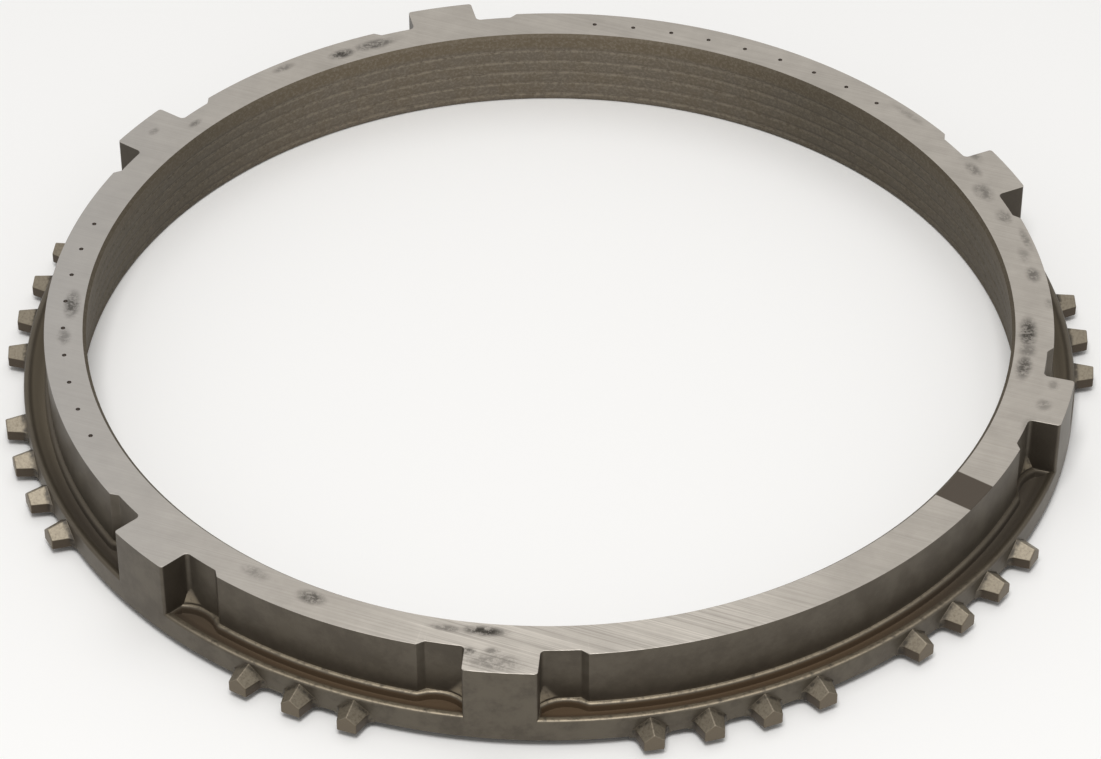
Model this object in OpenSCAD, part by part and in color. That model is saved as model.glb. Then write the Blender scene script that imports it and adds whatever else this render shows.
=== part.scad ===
// Synchronizer ring of a truck gearbox, forged in one piece, then turned and ground.
// The axis is Z. The large end of the friction cone rests on z = 0 and the ground face is on top.
// The middle of one pair of lugs lies on +X.

/* [Ring] */
// Height from the large end of the cone to the ground face
ring_h = 17.1; // [15:0.1:22]
// Diameter of the friction cone at the ground face, its small end
cone_d = 168.2; // [160:0.2:172]
// Half angle of the friction cone, in degrees
cone_angle = 7; // [5:0.5:9]
// Chamfer between the cone and the ground face
cone_chamfer = 0.6; // [0.2:0.1:1.2]
// Thickness of the wall at the ground face, from the cone to the outside
wall_t = 7.65; // [6:0.05:10]
// Thickness of the hub below the flange, at the large end of the cone
hub_t = 4.3; // [3:0.1:6]
// Height of the hub below the flange
hub_h = 1.4; // [0.8:0.1:2.6]
// Chamfer on the lower edges of the hub
hub_chamfer = 0.4; // [0.2:0.1:0.7]

/* [Cone grooves] */
// Distance between two oil grooves, along the axis
groove_pitch = 2.87; // [2:0.01:4]
// Depth of the first groove below the ground face
groove_first = 4.1; // [3:0.1:6]
// Width of a groove at the surface of the cone
groove_w = 0.7; // [0.3:0.05:1.2]
// Depth of a groove in the cone
groove_depth = 0.25; // [0.1:0.05:0.5]
// Least distance of a groove from the lower edge
groove_edge = 1.2; // [1:0.1:2]

/* [Flange] */
// Width by which the flange stands out from the wall
flange_w = 4.55; // [3.6:0.05:6]
// Thickness of the flange
flange_t = 4.7; // [3.6:0.1:6]
// Rounding of the rim's upper edge
rim_round = 0.5; // [0.2:0.1:0.7]
// Chamfer on the rim's lower edge
rim_chamfer = 0.3; // [0.1:0.05:0.4]
// Width of the land between the wall and the channel
land_w = 0.8; // [0.5:0.05:1.2]
// Width of the crest between the channel and the rim's edge
crest_w = 0.8; // [0.7:0.05:1.2]
// Depth of the channel below the land
channel_depth = 1.7; // [0.8:0.1:2.4]
// Fillet between the channel's floor and its outer side
channel_round = 1.5; // [0.2:0.1:2]
// Distance of the channel's end from a lug's flank
channel_end = 0.3; // [0.2:0.05:1]

/* [Lugs] */
// Number of lug pairs round the ring
pair_count = 3; // [2:1:4]
// Angle from the middle of a pair to each of its lugs, in degrees
lug_spread = 21; // [20:0.5:24]
// Width of a lug
lug_w = 12.7; // [10:0.1:14]
// Chamfer on the upright outer edges of a lug
lug_chamfer = 0.3; // [0.1:0.1:0.8]

/* [Relief pockets] */
// Depth of the pockets beside the lugs, below the wall's face
pocket_depth = 1.1; // [0.5:0.1:1.8]
// Length of a pocket's back wall, from the lug's flank
pocket_l = 6.7; // [5:0.1:8]
// Length of the slanted end of a pocket
pocket_slant = 1.25; // [0.6:0.05:2]
// Fillet between a lug's flank and the pocket's back wall
pocket_round = 0.9; // [0.3:0.1:1.5]
// Radius of the arch by which the channel runs into a pocket
arch_r = 6.4; // [4.5:0.1:8]
// Distance from the lug's flank to the middle of the arch
arch_offset = 4.9; // [3:0.1:6]
// Width of the land between a pocket's back wall and the arch
arch_land = 0.6; // [0.4:0.05:1]
// Height of the web in the corner between a lug and its pocket
web_h = 3.6; // [1:0.1:5]
// Length of the web along the pocket's back wall
web_l = 4.2; // [2:0.1:5]
// Length of the web along the lug's flank
web_w = 2; // [1:0.1:3]

/* [Teeth] */
// Number of tooth places on the full circle, most of which are left out beside the lugs
tooth_places = 60; // [56:1:66]
// Height of a tooth above the flange's edge
tooth_h = 3.7; // [2.5:0.1:6]
// Teeth in the group between the two lugs of a pair
short_group = 3; // [1:2:3]
// Teeth in the group between two pairs, on each side of the tooth that is missing in its middle
half_group = 4; // [1:1:4]
// Thickness of a tooth at its tip
tooth_tip_w = 3.5; // [2.5:0.1:4.2]
// Thickness of a tooth at the rim
tooth_root_w = 5.4; // [4.4:0.1:6]
// Slope of the two roof faces of a tooth, in degrees
roof_angle = 40; // [25:1:45]
// Height of the tooth's flank below the roof
eave_h = 2.05; // [1.2:0.05:2.4]
// Fillet at the root of a tooth
root_round = 1; // [0.3:0.1:1.2]

/* [Punch marks] */
// Distance of the punch marks from the outside of the wall
mark_inset = 3.45; // [2:0.05:5]
// Angle between two marks, in degrees
mark_pitch = 5; // [3:0.5:6]
// Marks in a row
mark_count = 9; // [1:1:9]
// Diameter of a mark
mark_d = 0.8; // [0.4:0.1:1.4]
// Depth of a mark
mark_depth = 0.4; // [0.2:0.1:0.8]

/* [Hidden] */
$fn = 180;

// Steps in a drawn quarter round
round_steps = 5;
// Length by which a cut runs past the face that it opens
over = 1;
// Depth by which a tooth is rooted in the rim
tooth_seat = 0.6;
// Depth by which a fillet starts below the face that it leaves
fillet_bite = 0.1;

cone_top_r = cone_d / 2;
wall_r = cone_top_r + wall_t;
rim_r = wall_r + flange_w;
tip_r = rim_r + tooth_h;
flange_z = hub_h + flange_t;
eave_z = hub_h + eave_h;
pocket_r = wall_r - pocket_depth;
channel_in_r = wall_r + land_w;
channel_out_r = rim_r - crest_w;
channel_z = flange_z - channel_depth;
channel_fillet = min(channel_round, channel_out_r - channel_in_r, channel_depth);
lug_angles = [for (pair = [0 : pair_count - 1], side = [-1, 1]) pair * 360 / pair_count + side * lug_spread];
gap_angles = [for (pair = [0 : pair_count - 1]) (pair + 0.5) * 360 / pair_count];
tooth_pitch = 360 / tooth_places;
groove_count = floor((ring_h - groove_first - groove_edge) / groove_pitch) + 1;
cone_length = ring_h - cone_chamfer;
blank_r = cone_top_r - over;
wall_z = flange_z - rim_round;
web_top = flange_z + web_h + over;

// Radius of the friction cone at a height
function cone_r(z) = cone_top_r + (ring_h - z) * tan(cone_angle);

// Outside radius of the hub
hub_r = cone_r(0) + hub_t;

// Point on a circle
function polar(r, angle) = [r * cos(angle), r * sin(angle)];

// Points of an arc from one angle to another
function arc(centre, r, from, to) =
    [for (i = [0 : round_steps]) centre + polar(r, from + (to - from) * i / round_steps)];

// Three points that cut a V groove into the cone at a height
function groove(z) = [
    [cone_r(z - groove_w / 2), z - groove_w / 2],
    [cone_r(z) + groove_depth, z],
    [cone_r(z + groove_w / 2), z + groove_w / 2],
];

// Section of the hub and the flange, with the cone still to be cut
module flange_section() {
    polygon(concat(
        [[blank_r, 0], [blank_r, flange_z]],
        arc([rim_r - rim_round, flange_z - rim_round], rim_round, 90, 0),
        [[rim_r, hub_h + rim_chamfer], [rim_r - rim_chamfer, hub_h]],
        [[hub_r, hub_h], [hub_r, hub_chamfer], [hub_r - hub_chamfer, 0]]
    ));
}

// Section of the space inside the ring: the grooved cone with its two chamfers
module cone_section() {
    grooves = [
        for (i = [groove_count - 1 : -1 : 0])
            each groove(ring_h - groove_first - i * groove_pitch)
    ];
    polygon(concat(
        [[0, -over], [cone_r(hub_chamfer) + hub_chamfer + over, -over]],
        [[cone_r(hub_chamfer), hub_chamfer]],
        grooves,
        [[cone_r(cone_length), cone_length], [cone_r(cone_length) + cone_chamfer + over, ring_h + over]],
        [[0, ring_h + over]]
    ));
}

// Lug on +X from above, with chamfered outer edges and a fillet at the root of each flank
module lug_outline() {
    flank = lug_w / 2;
    corner_x = sqrt(rim_r * rim_r - flank * flank);
    fillet_y = flank + pocket_round;
    fillet_x = sqrt(pow(pocket_r + pocket_round - fillet_bite, 2) - fillet_y * fillet_y);
    root_angle = atan2(fillet_y, fillet_x);
    root = [fillet_x, fillet_y] - polar(pocket_round, root_angle);
    half_outline = concat(
        [[root[0] - over, root[1]]],
        arc([fillet_x, fillet_y], pocket_round, root_angle - 180, -90),
        [[corner_x - lug_chamfer, flank], [corner_x + over, flank - lug_chamfer - over]]
    );
    intersection() {
        circle(rim_r);
        for (side = [0, 1])
            mirror([0, side, 0])
                polygon(concat(half_outline, [[corner_x + over, -over], [root[0] - over, -over]]));
    }
}

// Relief across the place of the lug on +X, which leaves a pocket on both sides of the lug
module relief_outline() {
    back_end = asin((lug_w / 2 + pocket_l) / pocket_r);
    foot = polar(pocket_r, back_end);
    slant = polar(wall_r, back_end + pocket_slant / pocket_r * 180 / PI) - foot;
    inner = foot - slant * over / norm(slant);
    outer = foot + slant * 2;
    difference() {
        polygon([outer, inner, [inner[0], -inner[1]], [outer[0], -outer[1]]]);
        circle(pocket_r);
    }
}

// Wall and lugs from above
module wall_outline() {
    difference() {
        circle(wall_r);
        circle(blank_r);
        for (lug_angle = lug_angles)
            rotate(lug_angle)
                relief_outline();
    }
    for (lug_angle = lug_angles)
        rotate(lug_angle)
            lug_outline();
}

// Outline of the channel from above: between the lugs, and bulging into the pockets
module channel_outline() {
    arch_centre_r = pocket_r + arch_land + arch_r;
    arch_angle = asin((lug_w / 2 + arch_offset) / arch_centre_r);
    difference() {
        circle(channel_out_r);
        difference() {
            circle(channel_in_r);
            for (lug_angle = lug_angles, side = [-1, 1])
                rotate(lug_angle + side * arch_angle)
                    translate([arch_centre_r, 0])
                        circle(arch_r);
        }
        for (lug_angle = lug_angles)
            rotate(lug_angle)
                translate([0, -lug_w / 2 - channel_end])
                    square([rim_r, lug_w + 2 * channel_end]);
    }
}

// Channel behind the rim, whose floor rises to the crest in a round
module channel() {
    intersection() {
        rotate_extrude()
            polygon(concat(
                [[pocket_r, web_top], [pocket_r, channel_z]],
                arc([channel_out_r - channel_fillet, channel_z + channel_fillet], channel_fillet, -90, 0),
                [[channel_out_r, web_top]]
            ));
        translate([0, 0, channel_z - over])
            linear_extrude(web_top - channel_z + 2 * over)
                channel_outline();
    }
}

// Webs in the corners on both sides of the lug on +X, each cut off by one slanted face
module corner_webs() {
    flank = lug_w / 2;
    corner_angle = asin(flank / pocket_r);
    end_angle = asin((flank + web_l) / pocket_r);
    slope = [1 / web_w, 1 / web_l, 1 / web_h];
    size = web_l + web_w + web_h;
    for (side = [0, 1])
        mirror([0, side, 0])
            translate([pocket_r * cos(corner_angle), flank, flange_z])
                rotate((corner_angle + end_angle) / 2)
                    difference() {
                        translate([-over, -over, wall_z - flange_z])
                            cube([web_w + over, web_l + over, flange_z - wall_z + web_h]);
                        translate([0, 0, web_h])
                            rotate([0, acos(slope[2] / norm(slope)), atan2(slope[1], slope[0])])
                                translate([-size, -size, 0])
                                    cube([2 * size, 2 * size, size]);
                    }
}

// Tooth on +X: a tapered block with root fillets, whose roof faces are cut parallel to its flanks
module tooth() {
    half_root = tooth_root_w / 2;
    half_tip = tooth_tip_w / 2;
    root_x = sqrt(rim_r * rim_r - half_root * half_root);
    seat_x = root_x - tooth_seat;
    taper = atan2(half_root - half_tip, tip_r - root_x);
    fillet_x = root_x + root_round - fillet_bite;
    flank_x = fillet_x - root_round * sin(taper);
    flank_y = half_root - (flank_x - root_x) * tan(taper);
    fillet_y = flank_y + root_round * cos(taper);
    roof_l = tip_r - seat_x + over;
    half_outline = concat(
        [[seat_x, fillet_y]],
        arc([fillet_x, fillet_y], root_round, 180, 270 - taper),
        [[tip_r, half_tip], [tip_r, -half_tip / 2], [seat_x, -half_tip / 2]]
    );
    difference() {
        translate([0, 0, hub_h])
            linear_extrude(flange_t)
                for (side = [0, 1])
                    mirror([0, side, 0])
                        polygon(half_outline);
        for (side = [0, 1])
            mirror([0, side, 0])
                translate([tip_r, half_tip, eave_z])
                    rotate([0, 0, -taper])
                        rotate([-roof_angle, 0, 0])
                            translate([-roof_l, -tooth_root_w, 0])
                                cube([roof_l + over, 2 * tooth_root_w, flange_t]);
    }
}

// Teeth round the rim: a short group within each pair of lugs, a long one between two pairs
module teeth() {
    short_steps = [for (i = [0 : short_group - 1]) i - (short_group - 1) / 2];
    long_steps = [for (side = [-1, 1], i = [1 : half_group]) side * i];
    for (gap = gap_angles) {
        for (step = short_steps)
            rotate(gap + 180 / pair_count + step * tooth_pitch)
                tooth();
        for (step = long_steps)
            rotate(gap + step * tooth_pitch)
                tooth();
    }
}

// Rows of punch marks on the ground face, in every gap between two pairs but the last
module punch_marks() {
    mark_steps = [for (i = [0 : mark_count - 1]) i - (mark_count - 1) / 2];
    for (row = [0 : pair_count - 2], step = mark_steps)
        rotate(gap_angles[row] + step * mark_pitch)
            translate([wall_r - mark_inset, 0, ring_h - mark_depth])
                cylinder(h = 2 * mark_depth, d1 = 0, d2 = 2 * mark_d);
}

// The whole ring
module synchronizer_ring() {
    color("#8a8478")
        difference() {
            union() {
                difference() {
                    union() {
                        rotate_extrude()
                            flange_section();
                        for (lug_angle = lug_angles)
                            rotate(lug_angle)
                                corner_webs();
                    }
                    channel();
                }
                difference() {
                    translate([0, 0, wall_z])
                        linear_extrude(ring_h - wall_z)
                            wall_outline();
                    punch_marks();
                }
                teeth();
            }
            rotate_extrude()
                cone_section();
        }
}

synchronizer_ring();
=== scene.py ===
"""Finished look of a synchronizer ring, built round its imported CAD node.

The ring is one piece of steel. Its blank, wall, channels, teeth and friction cone are made as closed
shells with rounded edges, and Booleans join them into one mesh that takes the node's place.
Lengths are in millimetres until a mesh is made. Angles are in radians, unless a name ends in deg.
"""

import logging
import math
from collections.abc import Sequence
from dataclasses import dataclass
from enum import Enum

import bpy
from bpy.types import Material, NodeSocket, NodeTree, Object
from mathutils import Matrix, Vector
from mathutils.geometry import intersect_line_line, intersect_line_sphere_2d, intersect_sphere_sphere_2d


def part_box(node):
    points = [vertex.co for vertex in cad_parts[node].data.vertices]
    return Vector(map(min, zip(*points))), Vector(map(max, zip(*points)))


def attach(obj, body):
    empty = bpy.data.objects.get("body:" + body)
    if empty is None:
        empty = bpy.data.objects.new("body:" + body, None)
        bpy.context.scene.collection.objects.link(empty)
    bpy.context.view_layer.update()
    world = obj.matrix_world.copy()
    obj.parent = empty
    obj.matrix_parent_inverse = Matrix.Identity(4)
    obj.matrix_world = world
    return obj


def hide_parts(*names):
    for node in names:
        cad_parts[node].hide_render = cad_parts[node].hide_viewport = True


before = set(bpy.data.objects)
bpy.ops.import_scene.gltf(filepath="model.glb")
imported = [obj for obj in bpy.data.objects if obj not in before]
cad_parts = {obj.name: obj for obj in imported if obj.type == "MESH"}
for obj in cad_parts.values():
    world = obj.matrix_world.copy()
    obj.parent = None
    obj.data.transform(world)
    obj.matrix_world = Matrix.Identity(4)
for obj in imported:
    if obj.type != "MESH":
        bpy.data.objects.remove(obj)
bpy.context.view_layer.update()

log = logging.getLogger("synchronizer_ring")

MM = 0.001
NODE = "synchronizer_ring"
BODY = "root"

# Numbers of the Mix node's colour sockets, which share their names with sockets of other kinds.
COLOUR_A = 6
COLOUR_B = 7
COLOUR_RESULT = 2

# Place on an outline, with the normal there that points out of it.
Sample = tuple[Vector, Vector]


class Join(Enum):
    """Ways in which one shell acts on another."""

    ADD = "UNION"
    CUT = "DIFFERENCE"
    SHARE = "INTERSECT"


class Surface(Enum):
    """Finishes of the ring, in the order of its material slots."""

    SKIN = 0
    GROUND = 1
    LINING = 2


@dataclass(frozen=True)
class RingSizes:
    """Sizes that several features of the ring share."""

    height: float
    cone_top_r: float = 84.1
    cone_angle: float = math.radians(7)
    wall_r: float = 91.75
    pocket_r: float = 90.65
    rim_r: float = 96.3
    hub_h: float = 1.4
    flange_z: float = 6.1
    lug_w: float = 12.7
    pair_count: int = 3
    lug_spread: float = math.radians(21)

    def cone_r(self, z: float) -> float:
        """Radius of the friction cone at a height."""
        return self.cone_top_r + (self.height - z) * math.tan(self.cone_angle)

    def lug_angles(self) -> list[float]:
        """Places the lugs.

        Returns:
            Angles of the lugs round the ring, in rising order.
        """
        pair_turn = math.tau / self.pair_count
        return [
            pair * pair_turn + side * self.lug_spread
            for pair in range(self.pair_count)
            for side in (-1, 1)
        ]


def polar(radius: float, angle: float) -> Vector:
    """Point on a circle round the origin."""
    return Vector((radius * math.cos(angle), radius * math.sin(angle)))


def turned(point: Vector, angle: float) -> Vector:
    """Point of the plan, turned round the origin."""
    return Matrix.Rotation(angle, 2) @ point


def mirrored(point: Vector) -> Vector:
    """Point of the plan on the other side of the X axis."""
    return Vector((point.x, -point.y))


@dataclass(frozen=True)
class Straight:
    """Straight edge of an outline."""

    point: Vector
    heading: float

    def turned(self, angle: float) -> "Straight":
        """The same edge, turned round the origin."""
        return Straight(turned(self.point, angle), self.heading + angle)

    def shifted(self, left: float) -> "Straight":
        """The parallel edge at a distance to the left."""
        return Straight(self.point + left * polar(1, self.heading + math.pi / 2), self.heading)

    def foot(self, point: Vector) -> Vector:
        """The place on the edge that is nearest to a point."""
        along = polar(1, self.heading)
        return self.point + along * (point - self.point).dot(along)

    def tangent(self, point: Vector) -> Vector:
        """Direction in which the edge runs."""
        return polar(1, self.heading)

    def walk(self, start: Vector, end: Vector, step: float) -> list[Sample]:
        """Samples the edge.

        Args:
            start: First place on the edge.
            end: Place at which the edge ends, which isn't sampled.
            step: Longest distance between two samples.

        Returns:
            Places with the normals that point out of the outline.
        """
        count = max(1, math.ceil((end - start).length / step))
        normal = polar(1, self.heading - math.pi / 2)
        return [(start.lerp(end, i / count), normal) for i in range(count)]


@dataclass(frozen=True)
class Arc:
    """Round edge of an outline."""

    centre: Vector
    radius: float
    anticlockwise: bool = True

    def turned(self, angle: float) -> "Arc":
        """The same edge, turned round the origin."""
        return Arc(turned(self.centre, angle), self.radius, self.anticlockwise)

    def shifted(self, left: float) -> "Arc":
        """The parallel edge at a distance to the left."""
        growth = -left if self.anticlockwise else left
        return Arc(self.centre, self.radius + growth, self.anticlockwise)

    def foot(self, point: Vector) -> Vector:
        """The place on the edge that is nearest to a point."""
        return self.centre + (point - self.centre).normalized() * self.radius

    def tangent(self, point: Vector) -> Vector:
        """Direction in which the edge runs past a point."""
        radial = (point - self.centre).normalized()
        return Vector((-radial.y, radial.x)) * (1 if self.anticlockwise else -1)

    def walk(self, start: Vector, end: Vector, step: float) -> list[Sample]:
        """Samples the edge.

        Args:
            start: First place on the edge.
            end: Place at which the edge ends, which isn't sampled.
            step: Longest distance between two samples.

        Returns:
            Places with the normals that point out of the outline.
        """
        first = math.atan2(start.y - self.centre.y, start.x - self.centre.x)
        last = math.atan2(end.y - self.centre.y, end.x - self.centre.x)
        outward = 1 if self.anticlockwise else -1
        sweep = outward * ((outward * (last - first)) % math.tau)
        count = max(1, math.ceil(abs(sweep) * self.radius / step))
        normals = [polar(1, first + sweep * i / count) for i in range(count)]
        return [(self.centre + normal * self.radius, normal * outward) for normal in normals]


Edge = Straight | Arc


def crossings(edge: Edge, other: Edge) -> list[Vector]:
    """Finds where two edges cross, when both are run on without end.

    Args:
        edge: One of the edges.
        other: The other edge.

    Returns:
        The places, of which there may be none, one or two.
    """
    if isinstance(edge, Arc) and isinstance(other, Arc):
        found = intersect_sphere_sphere_2d(edge.centre, edge.radius, other.centre, other.radius)
    elif isinstance(edge, Arc):
        return crossings(other, edge)
    elif isinstance(other, Arc):
        ahead = edge.point + polar(1, edge.heading)
        found = intersect_line_sphere_2d(edge.point, ahead, other.centre, other.radius, False)
    else:
        ends = [
            end.to_3d()
            for line in (edge, other)
            for end in (line.point, line.point + polar(1, line.heading))
        ]
        found = [intersect_line_line(*ends)[0].to_2d()]
    return [point for point in found if point is not None]


def nearest(points: Sequence[Vector], place: Vector) -> Vector:
    """The one of several points that is nearest to a place."""
    return min(points, key=lambda point: (point - place).length)


@dataclass(frozen=True)
class Side:
    """Edge of an outline with the corner at its end: a point near it and the radius of its rounding."""

    edge: Edge
    near: Vector
    radius: float

    def turned(self, angle: float) -> "Side":
        """The same edge and corner, turned round the origin."""
        return Side(self.edge.turned(angle), turned(self.near, angle), self.radius)


@dataclass(frozen=True)
class Outline:
    """Closed outline with rounded corners, whose inside lies to the left of its edges.

    The slack keeps an error in the last digit from adding a step to a rounding.
    """

    sides: Sequence[Side]
    step: float
    round_steps: int = 5
    slack: float = 1.001

    def _rounding(self, index: int) -> tuple[Arc, Vector, Vector]:
        """Rounds the corner after a side.

        Args:
            index: Number of the side.

        Returns:
            The rounding, and the places where it starts and ends.
        """
        side = self.sides[index]
        edge = side.edge
        following = self.sides[(index + 1) % len(self.sides)].edge
        corner = nearest(crossings(edge, following), side.near)
        turn = edge.tangent(corner).cross(following.tangent(corner))
        left = math.copysign(side.radius, turn)
        centre = nearest(crossings(edge.shifted(left), following.shifted(left)), corner)
        return Arc(centre, side.radius, turn > 0), edge.foot(centre), following.foot(centre)

    def samples(self) -> list[Sample]:
        """Samples the outline.

        Returns:
            Places along it, with the normals that point out of it.
        """
        roundings = [self._rounding(index) for index in range(len(self.sides))]
        result: list[Sample] = []
        for index, side in enumerate(self.sides):
            start = roundings[index - 1][2]
            rounding, leave, enter = roundings[index]
            result += side.edge.walk(start, leave, self.step)
            chord = (enter - leave).length
            sweep = 2 * math.asin(min(1.0, chord / (2 * rounding.radius)))
            result += rounding.walk(leave, enter, self.slack * sweep * rounding.radius / self.round_steps)
        return result


def circle_samples(count: int) -> list[Sample]:
    """Directions round a full circle, as samples of a circle with no radius."""
    return [(Vector((0, 0)), polar(1, math.tau * i / count)) for i in range(count)]


@dataclass(frozen=True)
class Level:
    """Level of a lofted shell: the distance of its loop from the outline, its height and its flare."""

    out: float
    z: float
    flare: float = 0.0


def quarter(
    out: float, z: float, radius: float, first_deg: float, last_deg: float, steps: int = 4
) -> list[Level]:
    """Levels along a quarter round.

    Args:
        out: Distance of the round's centre from the outline.
        z: Height of the round's centre.
        radius: Radius of the round.
        first_deg: Angle of its first level, from straight out and upwards.
        last_deg: Angle of its last level.
        steps: Number of steps between them.

    Returns:
        The levels, both ends included.
    """
    angles = [math.radians(first_deg + (last_deg - first_deg) * i / steps) for i in range(steps + 1)]
    return [Level(out + radius * math.cos(a), z + radius * math.sin(a)) for a in angles]


def skin(name: str, loops: Sequence[Sequence[Vector]], fans: bool = True) -> Object:
    """Makes a closed shell through a row of loops.

    Args:
        name: Name of the new object.
        loops: Loops of as many points each, in millimetres, anticlockwise when they are seen from the
            side of the first one.
        fans: Whether fans round the loops' middles close both ends, or one face each.

    Returns:
        The object, linked to the scene.
    """
    size = len(loops[0])
    points = [point * MM for loop in loops for point in loop]
    ends = [list(range(size)), list(reversed(range(len(points) - size, len(points))))]
    faces = []
    for end in ends:
        if not fans:
            faces.append(end)
            continue
        points.append(sum((points[i] for i in end), Vector()) / size)
        faces += [[end[i - 1], end[i], len(points) - 1] for i in range(size)]
    for row in range(len(loops) - 1):
        for i in range(size):
            j = (i + 1) % size
            faces.append([row * size + i, (row + 1) * size + i, (row + 1) * size + j, row * size + j])
    mesh = bpy.data.meshes.new(name)
    mesh.from_pydata(points, [], faces)
    piece = bpy.data.objects.new(name, mesh)
    bpy.context.scene.collection.objects.link(piece)
    return piece


def loft(
    name: str,
    samples: Sequence[Sample],
    levels: Sequence[Level],
    flares: Sequence[float] = (),
    fans: bool = True,
) -> Object:
    """Makes a closed shell from an outline in the plan.

    Args:
        name: Name of the new object.
        samples: Places along the outline, with their normals.
        levels: Levels of the shell, from its top down.
        flares: Share of each level's flare that every sample takes, or nothing if there is none.
        fans: Whether fans close both ends, or one face each.

    Returns:
        The object, linked to the scene.
    """
    shares = list(flares) or [0.0] * len(samples)
    loops = [
        [
            (point + normal * (level.out + level.flare * share)).to_3d() + Vector((0, 0, level.z))
            for (point, normal), share in zip(samples, shares)
        ]
        for level in levels
    ]
    return skin(name, loops, fans)


def settle(piece: Object) -> None:
    """Turns a piece's evaluated form into its plain mesh.

    Args:
        piece: Piece that loses its modifiers.
    """
    graph = bpy.context.evaluated_depsgraph_get()
    mesh = bpy.data.meshes.new_from_object(piece.evaluated_get(graph))
    piece.modifiers.clear()
    old = piece.data
    piece.data = mesh
    bpy.data.meshes.remove(old)


def carve(target: Object, tool: Object, join: Join) -> None:
    """Lets a shell act on a piece, and removes the shell.

    Args:
        target: Piece that is changed.
        tool: Shell that acts on it.
        join: Way in which it acts.
    """
    modifier = target.modifiers.new("carve", "BOOLEAN")
    modifier.operation = join.value
    modifier.solver = "MANIFOLD"
    modifier.object = tool
    settle(target)
    bpy.data.meshes.remove(tool.data)


def add(tree: NodeTree, kind: str, inputs: dict | None = None, **settings: object) -> Sequence[NodeSocket]:
    """Adds a node to a tree.

    Args:
        tree: Tree that gets the node.
        kind: Type of the node.
        inputs: What each input, by name or number, is linked or set to.
        settings: Properties of the node.

    Returns:
        The outputs of the new node.
    """
    node = tree.nodes.new(kind)
    for name, value in settings.items():
        setattr(node, name, value)
    for key, value in (inputs or {}).items():
        if isinstance(value, NodeSocket):
            tree.links.new(value, node.inputs[key])
        else:
            node.inputs[key].default_value = value
    return node.outputs


def linear(colour: str) -> tuple[float, float, float, float]:
    """Linear colour of an sRGB hex value."""
    shares = [int(colour[i : i + 2], 16) / 255 for i in (1, 3, 5)]
    return tuple(s / 12.92 if s <= 0.04045 else ((s + 0.055) / 1.055) ** 2.4 for s in shares) + (1.0,)


@dataclass(frozen=True)
class PolarRows:
    """Copies of a piece in rows round the axis, made by a node tree."""

    count: int
    pitch: float
    middle: float
    rows: int
    row_turn: float
    leave_middle_out: bool = False

    def _tree(self, inputs: dict[str, tuple[str, object]]) -> NodeTree:
        """Makes the node tree.

        Args:
            inputs: Kind and value of each input, by its name.

        Returns:
            The tree, with the shape to copy as its first input.
        """
        tree = bpy.data.node_groups.new("polar_rows", "GeometryNodeTree")
        for way in ("INPUT", "OUTPUT"):
            tree.interface.new_socket("Geometry", in_out=way, socket_type="NodeSocketGeometry")
        for name, (kind, _) in inputs.items():
            tree.interface.new_socket(name, in_out="INPUT", socket_type=kind)
        given = add(tree, "NodeGroupInput")
        index = add(tree, "GeometryNodeInputIndex")[0]
        last = add(tree, "ShaderNodeMath", {0: given["Count"], 1: 1.0}, operation="SUBTRACT")[0]
        half = add(tree, "ShaderNodeMath", {0: last, 1: 0.5}, operation="MULTIPLY")[0]
        place = add(tree, "ShaderNodeMath", {0: index, 1: half}, operation="SUBTRACT")[0]
        angle = add(tree, "ShaderNodeMath", {0: place, 1: given["Pitch"]}, operation="MULTIPLY")[0]
        at_middle = add(tree, "FunctionNodeCompare", {0: place, 1: 0.0}, operation="EQUAL")[0]
        choice = {0: at_middle, 1: given["Leave Middle Out"]}
        left_out = add(tree, "FunctionNodeBooleanMath", choice, operation="AND")[0]
        kept = add(tree, "FunctionNodeBooleanMath", {0: left_out}, operation="NOT")[0]
        turns = {0: index, 1: given["Row Turn"], 2: given["Middle"]}
        row_angle = add(tree, "ShaderNodeMath", turns, operation="MULTIPLY_ADD")[0]
        shape = given["Geometry"]
        for count, turn, selection in (("Count", angle, kept), ("Rows", row_angle, True)):
            points = add(tree, "GeometryNodePoints", {"Count": given[count]})[0]
            rotation = add(tree, "FunctionNodeAxisAngleToRotation", {"Axis": (0, 0, 1), "Angle": turn})[0]
            copies = {"Points": points, "Selection": selection, "Instance": shape, "Rotation": rotation}
            shape = add(tree, "GeometryNodeInstanceOnPoints", copies)[0]
        solid = add(tree, "GeometryNodeRealizeInstances", {"Geometry": shape})[0]
        dressed = {"Geometry": solid, "Material": given["Material"]}
        add(tree, "NodeGroupOutput", {0: add(tree, "GeometryNodeSetMaterial", dressed)[0]})
        return tree

    def repeat(self, piece: Object, material: Material) -> Object:
        """Replaces a piece by its rows of copies.

        Args:
            piece: Piece in its place on +X.
            material: Material of the copies.

        Returns:
            The same piece, as one plain mesh.
        """
        inputs = {
            "Count": ("NodeSocketInt", self.count),
            "Pitch": ("NodeSocketFloat", self.pitch),
            "Middle": ("NodeSocketFloat", self.middle),
            "Rows": ("NodeSocketInt", self.rows),
            "Row Turn": ("NodeSocketFloat", self.row_turn),
            "Leave Middle Out": ("NodeSocketBool", self.leave_middle_out),
            "Material": ("NodeSocketMaterial", material),
        }
        modifier = piece.modifiers.new("rows", "NODES")
        modifier.node_group = self._tree(inputs)
        for socket in modifier.node_group.interface.items_tree:
            if socket.name in inputs:
                modifier[socket.identifier] = inputs[socket.name][1]
        settle(piece)
        return piece


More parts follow.
